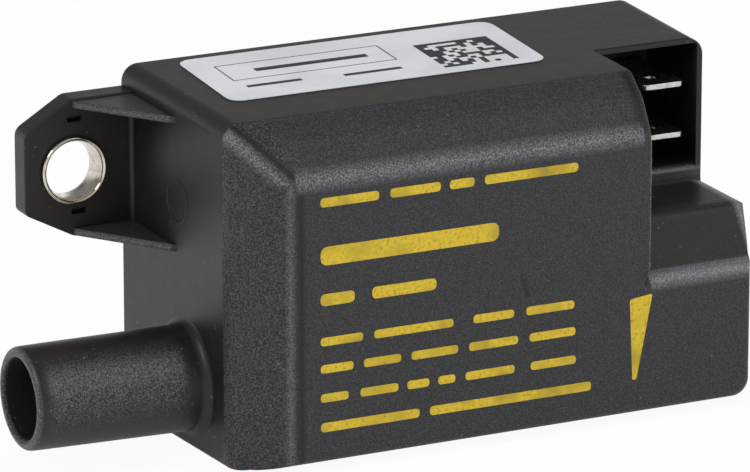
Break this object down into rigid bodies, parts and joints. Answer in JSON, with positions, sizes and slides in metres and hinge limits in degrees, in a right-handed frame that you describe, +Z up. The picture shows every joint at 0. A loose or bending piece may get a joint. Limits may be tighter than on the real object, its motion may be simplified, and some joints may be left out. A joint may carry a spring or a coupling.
{
  "type": "ignition transformer",
  "caption": "Moulded ignition transformer that turns mains voltage into spark pulses, with a tubular high-voltage socket, a fixing lug and recessed mains tabs.",
  "frame": {"origin": "middle of the bounding box in plan, at the level of the lowest edge of the housing", "axes": "+X along the length towards the mains tabs, -Y out of the printed front, +Z up"},
  "size_m": [0.1002, 0.036, 0.0475],
  "materials": {
    "moulding": "black moulded plastic, fine spark texture",
    "nickel_plating": "bright nickel plate",
    "tinned_brass": "satin tin plate",
    "label_film": "satin white film",
    "potting_resin": "cast, matte",
    "ferrite": "sintered, matte",
    "bobbin_plastic": "natural moulded plastic",
    "copper_wire": "enamelled copper",
    "contact_brass": "bright turned brass",
    "tinned_wire": "tinned copper",
    "line_sleeve": "insulated wire, brown",
    "neutral_sleeve": "insulated wire, blue",
    "board_laminate": "glass-filled laminate",
    "capacitor_case": "moulded case",
    "resistor_body": "lacquered ceramic",
    "diode_body": "moulded body",
    "trigger_glass": "small glass body",
    "thyristor_case": "moulded case",
    "suppressor_coating": "dipped coating"
  },
  "bodies": {
    "root": {"housing": "moulding", "mounting_eyelet": "nickel_plating", "tab_line": "tinned_brass", "tab_neutral": "tinned_brass", "rating_label": "label_film", "potting_compound": "potting_resin", "ferrite_rod": "ferrite", "primary_bobbin": "bobbin_plastic", "primary_winding": "copper_wire", "secondary_bobbin": "bobbin_plastic", "secondary_winding_1": "copper_wire", "secondary_winding_2": "copper_wire", "secondary_winding_3": "copper_wire", "secondary_winding_4": "copper_wire", "secondary_winding_5": "copper_wire", "socket_contact": "contact_brass", "socket_lead": "tinned_wire", "return_lead": "tinned_wire", "primary_lead_1": "tinned_wire", "primary_lead_2": "tinned_wire", "line_lead": "line_sleeve", "neutral_lead": "neutral_sleeve", "circuit_board": "board_laminate", "storage_capacitor": "capacitor_case", "charging_resistor": "resistor_body", "rectifier_diode": "diode_body", "trigger_diode": "trigger_glass", "switching_thyristor": "thyristor_case", "surge_suppressor": "suppressor_coating"}
  },
  "joints": []
}
